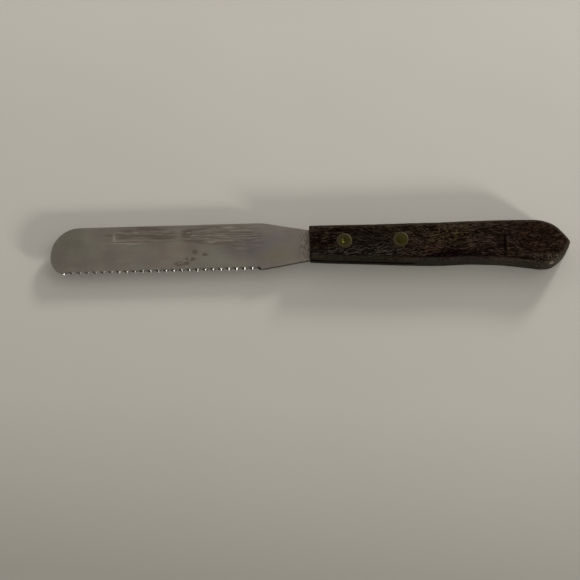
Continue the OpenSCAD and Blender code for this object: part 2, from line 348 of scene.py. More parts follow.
def to_object(bm, name):
    """Puts a bmesh into a new object at the origin."""
    mesh = bpy.data.meshes.new(name)
    bm.to_mesh(mesh)
    bm.free()
    piece = bpy.data.objects.new(name, mesh)
    bpy.context.scene.collection.objects.link(piece)
    return piece


def cut(piece, tool):
    """Cuts the solid in a bmesh out of a piece and closes any gap that is left in the piece's mesh."""
    cutter = to_object(tool, "cutter")
    boolean = piece.modifiers.new("Cut", "BOOLEAN")
    boolean.operation = "DIFFERENCE"
    boolean.solver = "EXACT"
    boolean.object = cutter
    bpy.context.view_layer.update()
    seen = piece.evaluated_get(bpy.context.evaluated_depsgraph_get())
    mesh = bpy.data.meshes.new_from_object(seen)
    piece.modifiers.remove(boolean)
    bm = bmesh.new()
    bm.from_mesh(mesh)
    bmesh.ops.holes_fill(bm, edges=[e for e in bm.edges if e.is_boundary])
    bmesh.ops.recalc_face_normals(bm, faces=bm.faces)
    bm.to_mesh(mesh)
    bm.free()
    used = (piece.data, cutter.data)
    piece.data = mesh
    mesh.name = piece.name
    bpy.data.objects.remove(cutter)
    for old in used:
        bpy.data.meshes.remove(old)


def finish_piece(piece, material, nodes, crease):
    """Shades a piece, gives it its material and slot, and lets it ride in place of its CAD nodes."""
    for polygon in piece.data.polygons:
        polygon.use_smooth = True
    piece.data.set_sharp_from_angle(angle=crease)
    piece.modifiers.new("Even Shading", "WEIGHTED_NORMAL").keep_sharp = True
    piece.data.materials.clear()
    piece.data.materials.append(material)
    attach(piece, "root")
    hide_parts(*nodes)


def between(place, column):
    """A column of the side shares at a place along the handle."""
    for low, high in zip(SIDE_SHARES, SIDE_SHARES[1:]):
        if place <= high[0]:
            part = (place - low[0]) / (high[0] - low[0])
            return low[column] + part * (high[column] - low[column])
    raise RuntimeError("the place lies beyond the handle's sides")


def back_at(handle, part):
    """The height of the handle's back."""
    return -handle.point + part * (handle.back + handle.point)


def belly_at(handle, part):
    """The height of the handle's belly."""
    return -handle.front - part * (handle.swell - handle.front)


def smooth(points, steps):
    """A smooth curve through all the points, with some steps between each two."""
    curve = []
    for i in range(len(points) - 1):
        a, b, c, d = (points[min(max(i + k, 0), len(points) - 1)] for k in (-1, 0, 1, 2))
        chord = (c - b).length
        start = (c - a) * chord / ((b - a).length + chord)
        end = (d - b) * chord / (chord + (d - c).length)
        for k in range(steps):
            t = k / steps
            u = 1 - t
            curve.append(
                b * (1 + 2 * t) * u * u + start * t * u * u + c * t * t * (3 - 2 * t) - end * t * t * u
            )
    return curve + [points[-1]]


class Tree:
    """Short calls for adding joined nodes to a node tree."""

    def __init__(self, tree):
        self.tree = tree

    def add(self, kind, inputs=(), out=0, **settings):
        made = self.tree.nodes.new(kind)
        for key, value in settings.items():
            setattr(made, key, value)
        for key, value in dict(inputs).items():
            self.feed(made.inputs[key], value)
        return made.outputs[out]

    def feed(self, socket, value):
        if isinstance(value, bpy.types.NodeSocket):
            self.tree.links.new(value, socket)
        else:
            socket.default_value = value

    def math(self, operation, a, b=0.0, clamp=False):
        return self.add("ShaderNodeMath", {0: a, 1: b}, operation=operation, use_clamp=clamp)

    def plus(self, value, *others):
        for other in others:
            value = self.math("ADD", value, other)
        return value

    def times(self, value, *others):
        for other in others:
            value = self.math("MULTIPLY", value, other)
        return value

    def vector(self, operation, a, b=(0, 0, 0), out=0):
        return self.add("ShaderNodeVectorMath", {0: a, 1: b}, out=out, operation=operation)

    def split(self, vector):
        return self.add("ShaderNodeSeparateXYZ", {0: vector}).node.outputs

    def map(self, vector, scale=(1, 1, 1), location=(0, 0, 0), rotation=(0, 0, 0)):
        return self.add(
            "ShaderNodeMapping",
            {"Vector": vector, "Scale": scale, "Location": location, "Rotation": rotation},
        )

    def noise(self, vector, scale, detail=2.0, roughness=0.5):
        return self.add(
            "ShaderNodeTexNoise", {"Vector": vector, "Scale": scale, "Detail": detail, "Roughness": roughness}
        )

    def range(self, value, low, high, to_low=0.0, to_high=1.0):
        return self.add(
            "ShaderNodeMapRange", {0: value, 1: low, 2: high, 3: to_low, 4: to_high},
            interpolation_type="SMOOTHSTEP",
        )

    def ramp(self, value, *stops):
        made = self.tree.nodes.new("ShaderNodeValToRGB")
        elements = made.color_ramp.elements
        elements[0].position, elements[1].position = stops[0][0], stops[-1][0]
        elements[0].color, elements[1].color = (*stops[0][1], 1), (*stops[-1][1], 1)
        for place, paint in stops[1:-1]:
            elements.new(place).color = (*paint, 1)
        self.feed(made.inputs[0], value)
        return made.outputs[0]

    def mix(self, part, a, b):
        a, b = (v if isinstance(v, bpy.types.NodeSocket) else (*v[:3], 1) for v in (a, b))
        return self.add("ShaderNodeMix", {0: part, 6: a, 7: b}, out=2, data_type="RGBA")

    def cover(self, base, paint, *masks):
        """Lays a colour over the base where all the masks meet."""
        return self.mix(self.times(*masks), base, paint)

    def tint(self, base, factors, *masks):
        """Multiplies the base by three factors where all the masks meet."""
        return self.cover(base, self.vector("MULTIPLY", base, factors), *masks)

    def bump(self, shader, strength, distance, height):
        """Gives a shader a relief of at most a distance in metres."""
        relief = {"Strength": strength, "Distance": distance, "Height": height}
        self.feed(shader["Normal"], self.add("ShaderNodeBump", relief))


def shade(paint, level):
    """A colour made lighter or darker."""
    return [part * level for part in paint]


def grouped(t, name, inputs, outputs, fill, values):
    """Adds the node group of that name and sets its inputs. Its first use makes the group."""
    tree = bpy.data.node_groups.get(name)
    if not tree:
        tree = bpy.data.node_groups.new(name, "ShaderNodeTree")
        for label, default in inputs.items():
            kind = "NodeSocketVector" if default is None else "NodeSocketFloat"
            socket = tree.interface.new_socket(name=label, in_out="INPUT", socket_type=kind)
            if default is not None:
                socket.default_value = default
        for label in outputs:
            tree.interface.new_socket(name=label, in_out="OUTPUT", socket_type="NodeSocketFloat")
        inside, given = Tree(tree), tree.nodes.new("NodeGroupInput").outputs
        made = tree.nodes.new("NodeGroupOutput").inputs
        for label, mask in zip(outputs, fill(inside, given)):
            inside.feed(made[label], mask)
    return t.add("ShaderNodeGroup", zip(inputs, values), node_tree=tree).node.outputs


def drawn_out(t, given, label, detail, roughness):
    """Noise with so many features in a millimetre, drawn out along the knife."""
    number = given[label]
    along = t.math("DIVIDE", number, given["Stretch"])
    scale = t.add("ShaderNodeCombineXYZ", {0: along, 1: number, 2: number})
    return t.noise(t.vector("MULTIPLY", given["Vector"], scale), 1.0, detail, roughness)


def fill_streaks(t, given):
    return [t.range(drawn_out(t, given, "Lines per mm", 3.0, 0.6), given["Low"], given["High"])]


def fill_specks(t, given):
    low = t.math("SUBTRACT", 0.78, t.times(given["Cover"], 0.4))
    return [t.range(drawn_out(t, given, "Per mm", 2.0, 0.7), low, t.plus(low, 0.07))]


def fill_edge_wear(t, given):
    height = t.math("ABSOLUTE", t.split(t.add("ShaderNodeTexCoord", out="Normal"))[2])
    edge = t.times(t.range(height, 0.999, 0.8), t.range(height, 0.0, 0.45))
    rough = t.range(t.noise(given["Vector"], given["Breakup"], 4.0, 0.6), 0.42, 0.62)
    wear = t.math("MULTIPLY", t.times(edge, rough), given["Amount"], clamp=True)
    return [wear, t.range(height, 0.99, 0.86)]


def streaks(t, *values):
    """Lines that run along the knife, such as brushing marks and wood fibres."""
    return grouped(t, "Streaks", STREAKS, ["Mask"], fill_streaks, values)[0]


def specks(t, *values):
    """Scattered specks: pores in wood, pits in metal."""
    return grouped(t, "Specks", SPECKS, ["Mask"], fill_specks, values)[0]


def edge_wear(t, *values):
    """Wear on rounded edges, and the sides, from how far the surface turns from the flat faces."""
    return grouped(t, "Edge Wear", EDGE_WEAR, ["Wear", "Side"], fill_edge_wear, values)


def new_material(name):
    """An empty material with a Principled BSDF, its tree and its place in millimetres on the knife."""
    material = bpy.data.materials.new(name)
    material.use_nodes = True
    t = Tree(material.node_tree)
    shader = material.node_tree.nodes["Principled BSDF"]
    place = t.map(t.add("ShaderNodeTexCoord", out="Object"), [1000] * 3, (-1000 * FRONT, -1000 * CENTRE, 0))
    return material, t, shader.inputs, place


def patch(t, place, spot, level):
    """A soft oval mask, from its middle and reach on the knife and its height and reach upwards."""
    centre, scale = (*spot[:2], level[0]), [1 / reach for reach in (*spot[2:], level[1])]
    oval = t.map(place, scale=scale, location=[-c * s for c, s in zip(centre, scale)])
    return t.range(t.vector("LENGTH", oval, out="Value"), 1.0, 0.0)


def steel_material(blade):
    """Worn satin stainless steel: brushed along the blade, with rub marks, smears and dull patches."""
    material, t, shader, place = new_material("Worn Stainless Steel")
    along, across, height = t.split(place)
    normal = t.split(t.add("ShaderNodeTexCoord", out="Normal"))
    leaning, facing = t.math("ABSOLUTE", normal[0]), t.math("ABSOLUTE", normal[2])
    painted_side = t.range(facing, 0.5, 0.1)
    near_edge = t.math("LESS_THAN", across, GROUND_REACH - 500 * blade.width)
    ground = t.times(t.range(facing, 0.97, 0.85), near_edge)

    # The plain steel, darker towards the tip, with faint clouds and tints
    base = t.mix(t.range(along, -106, -74), shade(blade.steel, 0.82), blade.steel)
    cloud = t.range(t.noise(place, 0.07, 3.0, 0.55), 0.35, 0.68)
    base = t.tint(base, (0.92, 1.0, 0.80), cloud, 0.3)
    warm = t.range(t.noise(t.vector("ADD", place, (31, 7, 0)), 0.09, 3.0, 0.6), 0.45, 0.7)
    base = t.tint(base, (1.03, 0.87, 0.84), warm, 0.35)
    base = t.cover(base, blade.stain, streaks(t, place, 1.8, 3.0, 0.3, 0.7), 0.10)
    for *spot, factors in STEEL_TINTS:
        base = t.tint(base, factors, patch(t, place, spot, TINT_LEVEL))

    # Smears and lines that wander a little
    bend = t.map(t.noise(place, 0.08), scale=(0, 1.0, 0), location=(0, -0.5, 0))
    wavy = t.map(t.vector("ADD", place, bend), rotation=(0, 0, SLANT))
    zone = 0.0
    for *spot, strength in SMEAR_ZONES:
        smeared = t.times(t.range(patch(t, place, spot, SMEAR_LEVEL), 0.02, 0.34), strength)
        zone = t.math("MAXIMUM", zone, smeared)
    zone = t.times(zone, blade.wear)
    smears = t.times(t.plus(t.times(streaks(t, wavy, 0.35, 5.0, 0.42, 0.58), 0.7), 0.3), zone)
    base = t.cover(base, blade.stain, smears, 0.42)
    paints = (blade.stain, blade.scratch)
    for shift, lines, stretch, low, high, strength, scratched in SMEAR_LINES:
        layer = streaks(t, t.vector("ADD", wavy, shift), lines, stretch, low, high)
        base = t.cover(base, paints[scratched], layer, zone, strength)
    for *spot, strength, scratched in STEEL_LINES:
        line = patch(t, wavy, spot, SMEAR_LEVEL)
        base = t.cover(base, paints[scratched], line, strength)

    # Broken blotches, and the upright scratch
    broken = t.noise(t.map(place, scale=(0.45, 0.9, 1)), 1.0, 4.0, 0.7)
    blotch = t.times(t.range(broken, 0.42, 0.50), blade.wear)
    glimmer = t.times(t.range(broken, 0.41, 0.34), 0.6)
    for spot in BLOTCHES:
        near = t.range(patch(t, place, spot, BLOTCH_LEVEL), 0.0, 0.5)
        base = t.cover(base, blade.stain, blotch, near)
        base = t.cover(base, blade.scratch, glimmer, near)
    chalky = t.range(t.noise(place, 1.2), 0.3, 0.6)
    base = t.cover(base, blade.scratch, patch(t, place, RUB_MARK, BLOTCH_LEVEL), chalky, 0.9)

    # The cracked crust beside the handle
    crack = t.noise(t.map(place, scale=(1.7, 0.7, 1), location=(4, 2, 0)), 1.0, 3.0, 0.75)
    crust = t.range(t.plus(along, t.times(crack, 4.0)), -2.6, -0.6)
    base = t.cover(base, blade.stain, crust, t.range(crack, 0.50, 0.60), 0.5)
    base = t.cover(base, blade.scratch, crust, t.range(crack, 0.50, 0.44))

    # The ground scallops, dulled near the tip, with painted shade on the lower part of their flanks
    base = t.cover(base, shade(blade.steel, 0.85), ground, 0.7)
    dulled = t.times(t.range(along, -68, -80), t.range(along, -95.5, -93.5))
    base = t.cover(base, shade(blade.steel, 0.35), ground, dulled, 0.6)
    low_part = t.range(height, 1000 * BLADE_LOW + 0.46, 1000 * BLADE_LOW + 0.24)
    # The low part of each scallop's flanks painted dark: painted shade
    flank_shade = t.times(t.range(leaning, 0.10, 0.28), low_part)
    base = t.cover(base, shade(blade.steel, 0.2), ground, flank_shade, 0.9)

    # Painted shade along the neck's lower edge, on the blank's sides (the dark rim) and on the tang inside
    # the wood
    depth, slope = NECK_EDGE
    inside = t.math("SUBTRACT", t.plus(across, depth), t.times(along, slope))
    neck_edge_shade = t.times(t.range(inside, 0.50, 0.25), t.range(along, -20.5, -17.5))
    # A dark line along the neck's lower edge: painted shade
    base = t.cover(base, shade(blade.steel, 0.14), neck_edge_shade, 0.75)
    # The blank's sides painted dark: painted shade
    base = t.cover(base, shade(blade.steel, 0.14), painted_side)
    # The tang inside the wood painted almost black: painted shade
    tang_in_shade = t.range(along, 0.0, 0.4)
    base = t.cover(base, shade(blade.steel, 0.02), tang_in_shade)
    t.feed(shader["Base Color"], base)

    shader["Metallic"].default_value = 1.0
    brushed = streaks(t, place, 3.0, 60.0, 0.2, 0.8)
    satin = t.plus(t.times(smears, 0.08), t.times(cloud, 0.05), t.times(brushed, 0.05), 0.27)
    blunt = t.math("SUBTRACT", t.times(dulled, 0.37), 0.13)
    t.feed(shader["Roughness"], t.plus(satin, t.times(ground, blunt), t.times(tang_in_shade, 0.4)))
    t.bump(shader, 0.25, 0.000005, t.plus(t.times(brushed, 0.6), t.times(smears, 0.4)))
    return material


def wood_material(handle):
    """Dark stained hardwood: wandering figure, open pores along the grain, grey on the sides that is painted
    sheen as well as dry bloom.
    """
    material, t, shader, place = new_material("Dark Oiled Hardwood")
    along, across, height = t.split(place)
    drift = t.map(t.noise(place, 0.035), scale=(0, 9, 5), location=(0, -4.5, -2.5))
    ripple = t.map(t.noise(place, 0.22, roughness=0.6), scale=(0, 1.8, 0.9), location=(0, -0.9, -0.45))
    grain = t.map(t.vector("ADD", t.vector("ADD", place, drift), ripple), rotation=(0, 0, SLANT))

    # The figure, calmer towards the butt and knotty between the rivets
    tone = 0.0
    for scale, shift, weight in FIGURE:
        layer = t.noise(t.map(grain, scale=scale, location=shift), 1.0, 2.0, 0.6)
        tone = t.plus(tone, t.times(t.math("SUBTRACT", layer, 0.5), weight))
    tone = t.plus(t.times(tone, t.range(along, 60, 84, 1.0, 0.68)), 0.5)
    knots = t.math("SUBTRACT", t.noise(place, 3.0, 3.0, 0.75), 0.5)
    knotty = t.range(patch(t, place, KNOTTY_WOOD, WOOD_LEVEL), 0.0, 0.5)
    tone = t.plus(tone, t.times(knots, knotty, 5.5))
    for *spot, weight in TONE_PATCHES:
        tone = t.plus(tone, t.times(patch(t, grain, spot, WOOD_LEVEL), weight))
    halfway = [(a + b) / 2 for a, b in zip(handle.mid, handle.light)]
    base = t.ramp(
        tone, (0.0, handle.dark), (0.32, shade(handle.mid, 0.5)), (0.55, handle.mid), (0.80, halfway),
        (1.0, handle.light),
    )

    # Open pores, tan flecks and tints
    pores = specks(t, grain, 1.6, 4.0, 0.56)
    base = t.cover(base, handle.dark, pores, 0.85)
    flecks = specks(t, t.vector("ADD", grain, (9, 40, 3)), 1.4, 1.7, 0.5)
    tanned = t.range(patch(t, place, TAN_WOOD, WOOD_LEVEL), 0.0, 0.6, 0.16, 1.0)
    base = t.cover(base, handle.fleck, flecks, tanned)
    for *spot, factors in WOOD_TINTS:
        base = t.tint(base, factors, t.range(patch(t, grain, spot, WOOD_LEVEL), 0.0, 0.5))

    # The dry wood with its pale fibres, and the bruise, which is full in its middle
    fibres = streaks(t, t.map(place, rotation=(0, 0, DRY_SLANT)), 1.7, 5.0, 0.53, 0.59)
    dry = t.range(patch(t, place, DRY_WOOD, WOOD_LEVEL), 0.0, 0.35)
    base = t.cover(base, [part * level for part, level in zip(handle.sheen_and_bloom, (0.18, 0.18, 0.14))], dry, 0.5)
    base = t.cover(base, handle.ash, dry, fibres, 0.62)
    base = t.cover(base, handle.dark, dry, pores, 0.85)
    broken = t.range(t.noise(place, 0.9), 0.25, 0.5)
    base = t.cover(base, handle.dark, patch(t, place, BRUISE, BRUISE_LEVEL), broken, 1.36)
    grazed = t.range(t.noise(place, 0.8), 0.38, 0.6)
    base = t.cover(base, handle.light, patch(t, place, GRAZE, BRUISE_LEVEL), grazed, 0.5)

    # The sides painted grey as painted sheen and dry bloom, the worn edges, pale chips and a painted glint at
    # the butt, and the shade in the kerf
    worn, painted_side = edge_wear(t, place, 0.9, 0.45)
    streaky = t.range(t.noise(t.map(grain, scale=(0.16, 1.3, 1.3)), 1.0, 3.0, 0.6), 0.35, 0.62)
    # The sides painted grey: painted sheen and dry bloom
    base = t.cover(base, handle.sheen_and_bloom, painted_side, t.range(streaky, 0.0, 1.0, 0.35, 0.97))
    base = t.cover(base, handle.light, worn)
    # The painted sheen, darker at the front and lighter near the butt
    for *spot, level in SIDE_SHEEN_LEVELS:
        near = t.range(patch(t, place, spot, SIDE_LEVEL), 0.0, 0.5)
        base = t.tint(base, (level,) * 3, near, painted_side)
    nose = t.times(t.range(along, 85, 90), t.range(across, -6.5, -8.5))
    base = t.cover(base, handle.ash, specks(t, place, 1.5, 1.2, 0.62), nose, 0.8)
    # A painted glint on the butt's lower corner, three times as light as the ash
    base = t.cover(base, shade(handle.ash, 3), patch(t, place, BUTT_GLINT, GLINT_LEVEL))
    from_kerf = t.math("ABSOLUTE", t.math("SUBTRACT", height, 500 * (BLADE_LOW + BLADE_TOP)))
    kerf_end = t.range(along, 1000 * handle.kerf_length + 1, 1000 * handle.kerf_length - 1)
    base = t.cover(base, handle.dark, t.range(from_kerf, 1.25, 0.7), kerf_end, 0.95)
    t.feed(shader["Base Color"], base)

    t.feed(shader["Roughness"], t.plus(t.times(pores, 0.2), t.times(painted_side, -0.06), 0.46))
    shader["Specular IOR Level"].default_value = 0.012
    t.bump(shader, 0.5, 0.00006, t.math("SUBTRACT", t.times(tone, 0.5), pores))
    return material


def brass_material(rivets, name, centre, disc):
    """Rubbed brass with a paler tarnished ring round it."""
    material, t, shader, place = new_material(name)
    spot = t.map(place, location=(-centre[0], -centre[1], 0), scale=(1, 1, 0))
    away = t.vector("LENGTH", spot, out="Value")
    ring = t.range(t.plus(away, t.times(t.noise(place, 0.9, 3.0), 0.7)), disc + 0.15, disc + 0.75)
    blot = t.range(t.noise(place, 1.3, 4.0, 0.6), 0.35, 0.7)
    base = t.mix(ring, rivets.brass, rivets.tarnish)
    base = t.cover(base, shade(rivets.brass, 0.5), blot, 0.45)
    rim = t.range(away, 500 * rivets.head - 0.35, 500 * rivets.head - 0.05)
    base = t.cover(base, (0.05, 0.04, 0.025), rim, 0.7)
    t.feed(shader["Base Color"], base)
    shader["Metallic"].default_value = 1.0
    t.feed(shader["Roughness"], t.plus(t.times(ring, 0.10), t.times(blot, 0.06), 0.32))
    scratches = streaks(t, place, 6.0, 12.0, 0.4, 0.7)
    pits = specks(t, place, 3.0, 1.0, 0.4)
    t.bump(shader, 0.4, 0.00002, t.math("SUBTRACT", t.times(scratches, 0.5), pits))
    return material


def table_material(stage):
    """A pale laminate top with painted light falloff, darker towards the camera, and clear from below so that
    the underside of the knife can be seen.
    """
    material, t, shader, place = new_material("Pale Table Top")
    along, across, _ = t.split(place)
    # Painted light falloff: the top darker towards the camera and a little to the left
    away = t.math("DIVIDE", t.plus(across, t.times(along, 0.08), FALLOFF_BEGIN), FALLOFF_LENGTH)
    level = t.ramp(away, *((part, (grey,) * 3) for part, grey in PAINTED_FALLOFF))
    base = t.mix(level, stage.table_shaded_near, stage.table)
    soft = t.range(t.noise(place, 0.012, 3.0, 0.5), 0.3, 0.7)
    t.feed(shader["Base Color"], t.cover(base, stage.table_shaded_near, soft, 0.06))
    shader["Roughness"].default_value = 0.8
    shader["Specular IOR Level"].default_value = 0.04
    nodes = material.node_tree.nodes
    clear = t.add("ShaderNodeBsdfTransparent")
    behind = t.add("ShaderNodeNewGeometry", out="Backfacing")
    surface = t.add("ShaderNodeMixShader", {0: behind, 1: nodes["Principled BSDF"].outputs[0], 2: clear})
    t.feed(nodes["Material Output"].inputs["Surface"], surface)
    return material


class KNIFE_OT_blade(bpy.types.Operator):
    """Build the stamped blade with its ground scallops and its half tang"""

    bl_idname = "knife.blade"
    bl_label = "Blade"

    def execute(self, context):
        scene = context.scene
        blade, handle, rivets = scene.knife_blade, scene.knife_handle, scene.knife_rivets
        half = blade.width / 2
        neck_top, neck_low = blade.neck_width / 2 - blade.neck_drop, blade.neck_width / 2 + blade.neck_drop
        place = blade.tang_length / handle.length
        tang_top = back_at(handle, between(place, 1)) - blade.tang_inset
        tang_low = belly_at(handle, between(place, 2)) + blade.tang_inset
        top_turn = atan((half - neck_top) / blade.neck_length)
        low_turn = atan((half - neck_low) / blade.neck_length)
        z, r, far = BLADE_LOW, blade.shoulder_radius, blade.tang_length - blade.tang_radius
        top_shoulder = at(-blade.neck_length - r * tan(top_turn / 2), half - r, z)
        low_shoulder = at(-blade.neck_length - r * tan(low_turn / 2), r - half, z)

        # The outline, from the tang's upper corner round the tip to its lower corner
        bm = bmesh.new()
        first = bm.verts.new(at(blade.tang_length, tang_top - blade.tang_radius, z))
        last = sweep(bm, first, at(far, tang_top - blade.tang_radius, z), pi / 2, CORNER_STEPS)
        start = top_shoulder + r * Vector((sin(top_turn), cos(top_turn), 0))
        last = trace(bm, last, [at(0, neck_top, z), start])
        last = sweep(bm, last, top_shoulder, top_turn, SHOULDER_STEPS)
        round_tip = blade.tip_radius - blade.length
        last = trace(bm, last, [at(round_tip, half, z)])
        last = sweep(bm, last, at(round_tip, half - blade.tip_radius, z), pi / 2, TIP_STEPS)
        p = at(-blade.length, half - blade.tip_radius, z)
        s = at(blade.chin_length - blade.length, -half, z)
        q = p - Vector((0, CHIN_SHARES[0] * (p.y - s.y), 0))
        pull = CHIN_SHARES[1] * blade.chin_length
        c = s + pull * Vector((-cos(blade.chin_angle), sin(blade.chin_angle), 0))
        chin = []
        for i in range(1, CHIN_STEPS + 1):
            t = i / CHIN_STEPS
            u = 1 - t
            chin.append(u**3 * p + 3 * u * u * t * q + 3 * u * t * t * c + t**3 * s)
        last = trace(bm, last, chin + [low_shoulder - Vector((0, r, 0))])
        last = sweep(bm, last, low_shoulder, low_turn, SHOULDER_STEPS)
        last = trace(bm, last, [at(0, -neck_low, z), at(far, tang_low, z)])
        last = sweep(bm, last, at(far, tang_low + blade.tang_radius, z), pi / 2, CORNER_STEPS)
        bm.edges.new((last, first))

        # The blank, thinner towards its tip, with its stamped rim
        bmesh.ops.contextual_create(bm, geom=bm.edges[:])
        raised = bmesh.ops.extrude_face_region(bm, geom=bm.faces[:])["geom"]
        up = [g for g in raised if isinstance(g, bmesh.types.BMVert)]
        bmesh.ops.translate(bm, verts=up, vec=(0, 0, BLADE_TOP - BLADE_LOW))
        bmesh.ops.bisect_plane(
            bm, geom=bm.verts[:] + bm.edges[:] + bm.faces[:], dist=1e-7,
            plane_co=at(-blade.neck_length, 0, 0), plane_no=(1, 0, 0),
        )
        for vert in bm.verts:
            ground = max(FRONT - blade.neck_length - vert.co.x, 0) / (blade.length - blade.neck_length)
            if vert.co.z > (BLADE_LOW + BLADE_TOP) / 2:
                vert.co.z -= blade.tip_thinning * ground
        bmesh.ops.recalc_face_normals(bm, faces=bm.faces)
        rims = [e for e in bm.edges if sum(abs(face.normal.z) > 0.5 for face in e.link_faces) == 1]
        soften(bm, rims, blade.rim_radius, 2)
        piece = to_object(bm, "blade_steel")

        # The scallops, ground by slanting rods; each tool has every third, so that no rods touch
        lean = blade.grind_angle
        sagitta = blade.tooth_depth * cos(lean)
        radius = ((blade.tooth_pitch / 2) ** 2 + sagitta**2) / (2 * sagitta)
        root = blade.tooth_trim + blade.tooth_depth - half
        foremost = blade.chin_length - blade.length + blade.tooth_pitch / 2
        axis = at(foremost, root - radius / cos(lean), BLADE_LOW)
        reach = radius * tan(lean) + (BLADE_TOP - BLADE_LOW) / cos(lean) + OVERCUT
        for turn in range(3):
            tool = bmesh.new()
            for i in range(turn, blade.scallops, 3):
                stand = Matrix.Translation(axis + Vector((i * blade.tooth_pitch, 0, 0)))
                add_rod(tool, radius, 2 * reach, SCALLOP_STEPS, stand @ Matrix.Rotation(-lean, 4, "X"))
            cut(piece, tool)
        tool = bmesh.new()
        for rivet, *_ in RIVETS:
            middle = Matrix.Translation(sum(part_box(rivet + "_rivet_pin"), Vector()) / 2)
            add_rod(tool, rivets.sleeve / 2 + rivets.gap, TOP + OVERCUT, HOLE_STEPS, middle)
        cut(piece, tool)
        finish_piece(piece, steel_material(blade), ["blade"], BLADE_CREASE)
        return {"FINISHED"}


class KNIFE_OT_handle(bpy.types.Operator):
    """Build the one-piece hardwood handle with its saw kerf and rivet holes"""

    bl_idname = "knife.handle"
    bl_label = "Handle"

    def execute(self, context):
        handle, rivets = context.scene.knife_handle, context.scene.knife_rivets
        back = [Vector((s[0] * handle.length, back_at(handle, s[1]))) for s in SIDE_SHARES + END_SHARES]
        belly = [Vector((s[0] * handle.length, belly_at(handle, s[2]))) for s in SIDE_SHARES]
        drop = handle.swell - handle.point
        belly += [Vector((s[0] * handle.length, -handle.point - s[2] * drop)) for s in END_SHARES]
        nose = Vector((handle.length, -handle.point))
        outline = smooth(back + [nose] + belly[::-1], OUTLINE_STEPS)
        inward = []
        for p in outline:
            beyond = p.x > handle.length - handle.butt
            away = (max(p.x - handle.length + handle.butt, 0), p.y + (handle.point if beyond else 0))
            inward.append(-Vector(away).normalized())
        turns = [pi / 2 * i / EDGE_STEPS for i in range(EDGE_STEPS + 1)]
        ring = [(1 - sin(turn), handle.edge_radius * (1 - cos(turn))) for turn in turns]
        levels = ring + [(share_in, TOP - height) for share_in, height in reversed(ring)]

        # The body, raised level by level; its rounded edges have dents
        bm = bmesh.new()
        place = bm.verts.layers.int.new("place")
        corners = [bm.verts.new() for p in outline]
        for i, vert in enumerate(corners):
            vert[place] = i
        edges = [bm.edges.new(pair) for pair in zip(corners, corners[1:] + corners[:1])]
        for i, (share_in, height) in enumerate(levels):
            if i:
                grown = bmesh.ops.extrude_edge_only(bm, edges=edges)["geom"]
                corners = [g for g in grown if isinstance(g, bmesh.types.BMVert)]
                edges = [g for g in grown if isinstance(g, bmesh.types.BMEdge)]
            for vert in corners:
                p = outline[vert[place]] + inward[vert[place]] * handle.edge_radius * share_in
                spot = at(p.x, p.y, height)
                if 0 < i < len(levels) - 1 and p.x > DENTS_BEGIN:
                    dent = noise.noise(spot * SOFT_DENTS[0]) * SOFT_DENTS[1]
                    dent += max(noise.noise(spot * SHARP_DENTS[0]) - SHARP_FROM, 0) * SHARP_DENTS[1]
                    depth = handle.nicks * (1.0 if p.x > DENTS_DEEP else DENTS_SHARE)
                    spot += Vector((*inward[vert[place]], 0)) * depth * max(dent, 0)
                vert.co = spot
        bmesh.ops.holes_fill(bm, edges=bm.edges[:])
        bmesh.ops.recalc_face_normals(bm, faces=bm.faces)
        bmesh.ops.dissolve_faces(bm, faces=[f for f in bm.faces if f.normal.x < -0.99])
        front = next(f for f in bm.faces if f.normal.x < -0.99)
        soften(bm, front.edges[:], handle.front_bevel, 3)
        piece = to_object(bm, "handle_wood")

        kerf = bmesh.new()
        room = BLADE_TOP - BLADE_LOW + handle.kerf_gap
        centre = Matrix.Translation(at((handle.kerf_length - OVERCUT) / 2, 0, BLADE_LOW + room / 2))
        size = Matrix.Diagonal((handle.kerf_length + OVERCUT, KERF_TOOL_WIDTH, room, 1))
        bmesh.ops.create_cube(kerf, size=1, matrix=centre @ size)
        cut(piece, kerf)
        head, shank = rivets.head / 2 + rivets.gap, rivets.sleeve / 2 + rivets.gap
        hole = [(0, -OVERCUT), (head, -OVERCUT), (head, rivets.head_height), (shank, rivets.head_height)]
        hole += [(radius, TOP - height) for radius, height in reversed(hole)]
        for rivet, *_ in RIVETS:
            cut(piece, lathe(hole, rivet_centre(rivet)))
        finish_piece(piece, wood_material(handle), ["handle"], WOOD_CREASE)
        return {"FINISHED"}


def rivet_centre(rivet):
    """The middle of a rivet, at the height of the table."""
    low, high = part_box(rivet + "_rivet_pin")
    return (low.x + high.x) / 2, CENTRE, 0


def head_profile(rivets, disc, groove):
    """The radii and depths across a rivet's head, from its disc to its rim."""
    head, bevel = rivets.head / 2, rivets.bevel
    return [
        (disc, DISC_EDGE), (disc + GROOVE_HALF, groove), (disc + 2 * GROOVE_HALF, 0),
        (head - bevel * 1.6, 0), (head - bevel * 0.6, bevel * 0.35), (head, bevel),
    ]


